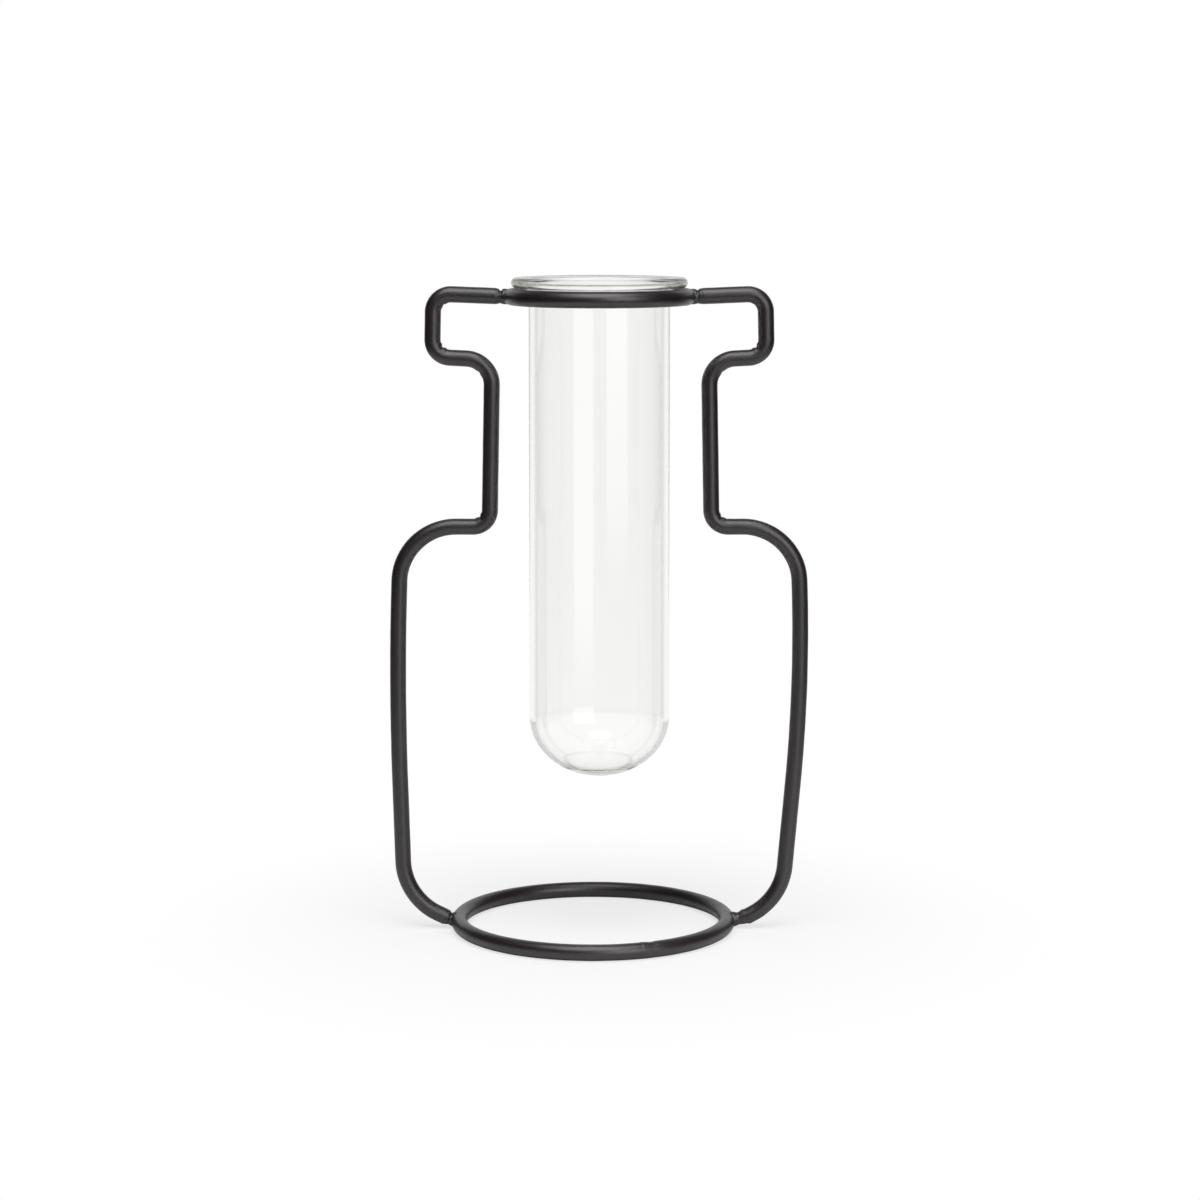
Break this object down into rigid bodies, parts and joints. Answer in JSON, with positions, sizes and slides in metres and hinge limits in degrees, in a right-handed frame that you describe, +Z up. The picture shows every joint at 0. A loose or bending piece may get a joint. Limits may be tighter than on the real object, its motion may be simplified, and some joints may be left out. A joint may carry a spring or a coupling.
{
  "type": "test tube vase",
  "caption": "Bud vase: a clear glass test tube with a thick, rounded lip hangs in a black wire ring, carried by side wires bent to a bottle's outline above a wire base ring.",
  "frame": {"origin": "on the table, under the axis of the tube, at the bottom centre of the bounding box", "axes": "+Z up along the tube, +X to the right across the bottle outline as seen from the front, +Y from the front to the back"},
  "size_m": [0.1051, 0.0718, 0.1644],
  "materials": {
    "clear_glass": "clear, smooth, with a faint green tint where the glass is thick",
    "black_powder_coat": "satin charcoal black powder coat with a fine texture",
    "coated_weld": "the same powder coat over rougher weld metal"
  },
  "bodies": {
    "stand": {"tube_ring": "black_powder_coat", "tube_ring_seam_weld": "coated_weld", "base_ring": "black_powder_coat", "base_ring_seam_weld": "coated_weld", "left_side_wire": "black_powder_coat", "right_side_wire": "black_powder_coat", "upper_left_weld": "coated_weld", "upper_right_weld": "coated_weld", "lower_left_weld": "coated_weld", "lower_right_weld": "coated_weld"},
    "tube": {"test_tube": "clear_glass"}
  },
  "joints": [
    {"name": "tube_lift", "type": "slide", "parent": "stand", "child": "tube", "axis": [0, 0, 1], "range_m": [0, 0.125]}
  ]
}
